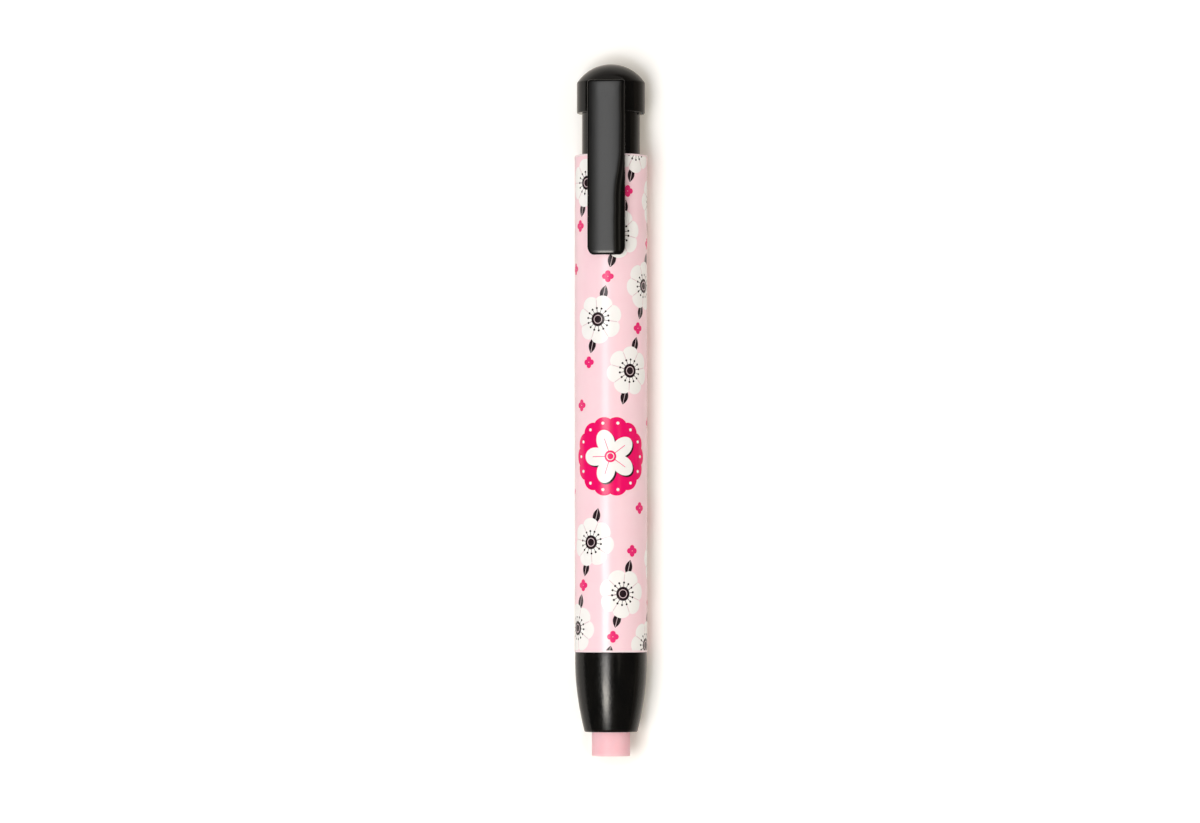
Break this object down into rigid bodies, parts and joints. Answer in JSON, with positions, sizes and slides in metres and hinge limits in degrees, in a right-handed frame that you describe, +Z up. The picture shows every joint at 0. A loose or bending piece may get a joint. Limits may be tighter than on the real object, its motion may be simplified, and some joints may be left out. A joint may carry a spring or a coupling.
{
  "type": "push-button eraser stick",
  "caption": "Pen-shaped eraser holder: a push button with a pocket clip feeds a round eraser through a spring-loaded collet in a printed barrel.",
  "frame": {"origin": "on the surface that the barrel rests on, under the pen's axis, at the middle of the whole length", "axes": "+X along the pen towards the eraser, +Z up through the side that carries the clip, +Y to the left of +X"},
  "size_m": [0.1238, 0.013, 0.015],
  "materials": {
    "barrel_plastic": "gloss",
    "print_film": "gloss",
    "black_plastic": "satin",
    "milky_plastic": "matte",
    "brass": "turned",
    "spring_steel": "drawn wire",
    "retainer_rubber": "matte",
    "eraser_vinyl": "matte"
  },
  "bodies": {
    "barrel": {"barrel": "barrel_plastic", "print_sleeve": "print_film", "nose_cone": "black_plastic", "retainer": "retainer_rubber", "seat_bush": "milky_plastic", "spring": "spring_steel"},
    "push_button": {"end_cap": "black_plastic", "head_collar": "black_plastic", "plunger": "black_plastic", "feed_tube": "milky_plastic", "collet": "milky_plastic"},
    "clip": {"pocket_clip": "black_plastic"},
    "clutch": {"clutch_ring": "brass"},
    "eraser": {"eraser": "eraser_vinyl"}
  },
  "joints": [
    {"name": "button_press", "type": "slide", "parent": "barrel", "child": "push_button", "axis": [1, 0, 0], "range_m": [0, 0.005], "stiffness_N_per_m": 130, "springref_m": -0.01, "deforming": ["spring"]},
    {"name": "clutch_ring_slide", "type": "slide", "parent": "barrel", "child": "clutch", "axis": [1, 0, 0], "range_m": [0, 0.002]},
    {"name": "eraser_feed", "type": "slide", "parent": "barrel", "child": "eraser", "axis": [1, 0, 0], "range_m": [-0.0043, 0.05]},
    {"name": "clip_flex", "type": "hinge", "parent": "push_button", "child": "clip", "pos_m": [-0.05675, 0, 0.01196], "axis": [0, -1, 0], "range_deg": [0, 5], "stiffness_Nm_per_rad": 0.3, "springref_deg": -2.86}
  ],
  "couplings": [
    {"joint": "clutch_ring_slide", "follows": "button_press", "ratio": 0.4}
  ]
}
